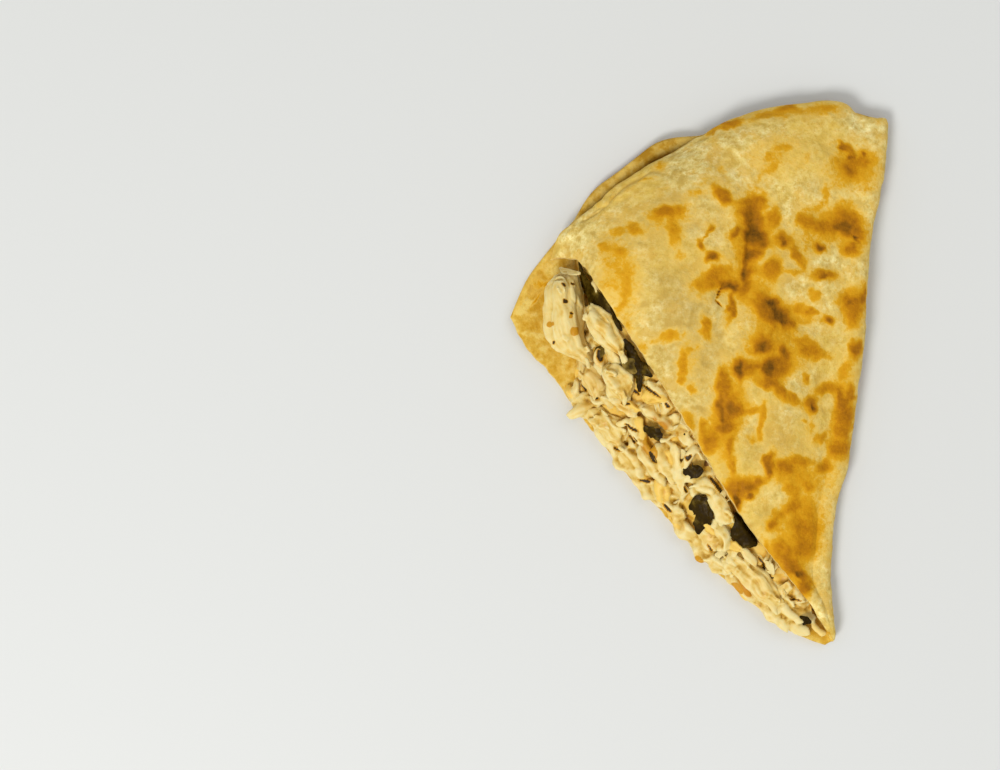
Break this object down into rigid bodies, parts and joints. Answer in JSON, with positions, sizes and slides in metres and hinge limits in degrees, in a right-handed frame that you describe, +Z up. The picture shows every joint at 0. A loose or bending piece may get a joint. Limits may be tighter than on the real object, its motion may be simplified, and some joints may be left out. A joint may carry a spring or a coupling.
{
  "type": "quesadilla wedge",
  "caption": "Wedge of quesadilla: a browned flour tortilla folded over shredded chicken, melted cheese and spinach that show at the open cut side.",
  "frame": {"origin": "middle of the bounding box, on the surface the wedge lies on", "axes": "+Z up out of the browned upper face, +Y towards the round rim, +X towards the fold"},
  "size_m": [0.0902, 0.1299, 0.0195],
  "materials": {
    "tortilla": "dry baked flour tortilla, pale straw with golden and brown griddle marks",
    "filling": "moist shreds of cooked chicken bound with melted yellow cheese",
    "chicken": "moist cooked chicken breast with visible fibres",
    "spinach": "wilted spinach leaf, wet and nearly black green"
  },
  "bodies": {
    "root": {"tortilla": "tortilla", "filling": "filling", "chicken_chunk": "chicken", "chicken_slice": "chicken", "chicken_lump": "chicken", "chicken_block": "chicken", "chicken_slab": "chicken", "chicken_ridge": "chicken", "spinach_long": "spinach", "spinach_upper": "spinach", "spinach_middle": "spinach", "spinach_lower": "spinach"}
  },
  "joints": []
}
